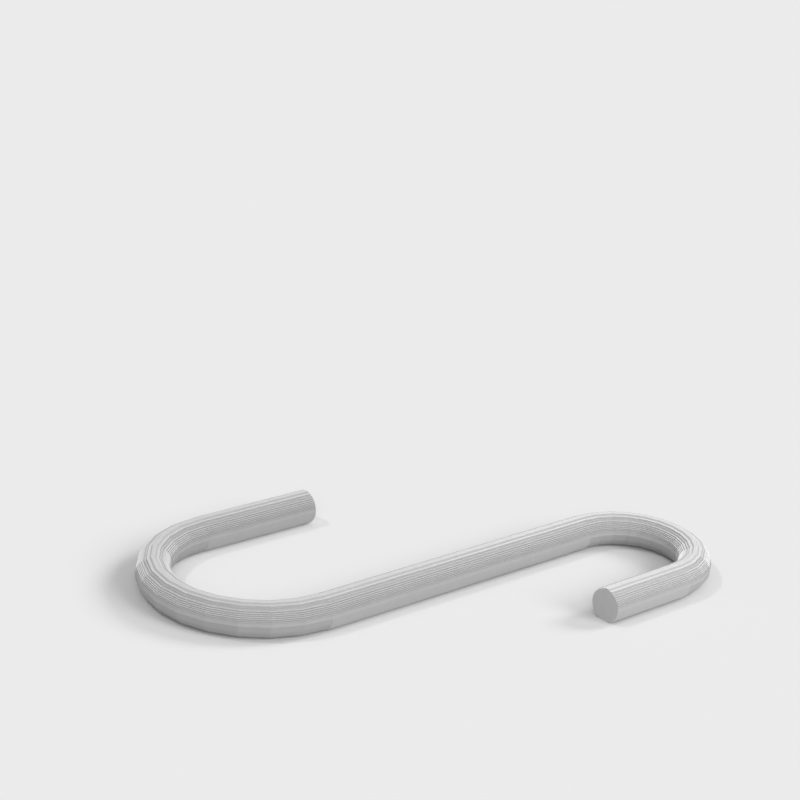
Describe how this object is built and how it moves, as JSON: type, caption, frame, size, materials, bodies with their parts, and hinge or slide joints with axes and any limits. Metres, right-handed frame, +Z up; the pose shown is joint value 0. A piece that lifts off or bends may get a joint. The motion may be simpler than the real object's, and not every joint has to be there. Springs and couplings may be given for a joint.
{
  "type": "s hook",
  "caption": "Printed S hook: round rod with a wide open hook at one end and a narrower one at the other, lying flat.",
  "frame": {"origin": "bottom centre of the hook's bounding box, on the surface it lies on", "axes": "+X along the straight shank from the large hook to the small hook, +Y towards the large hook's tip, +Z up, across the flat of the hook"},
  "size_m": [0.08, 0.055, 0.005],
  "materials": {
    "printed_plastic": "light grey printed plastic, satin to matte, with fine level layer lines on the upper side"
  },
  "bodies": {
    "root": {"s_hook": "printed_plastic"}
  },
  "joints": []
}
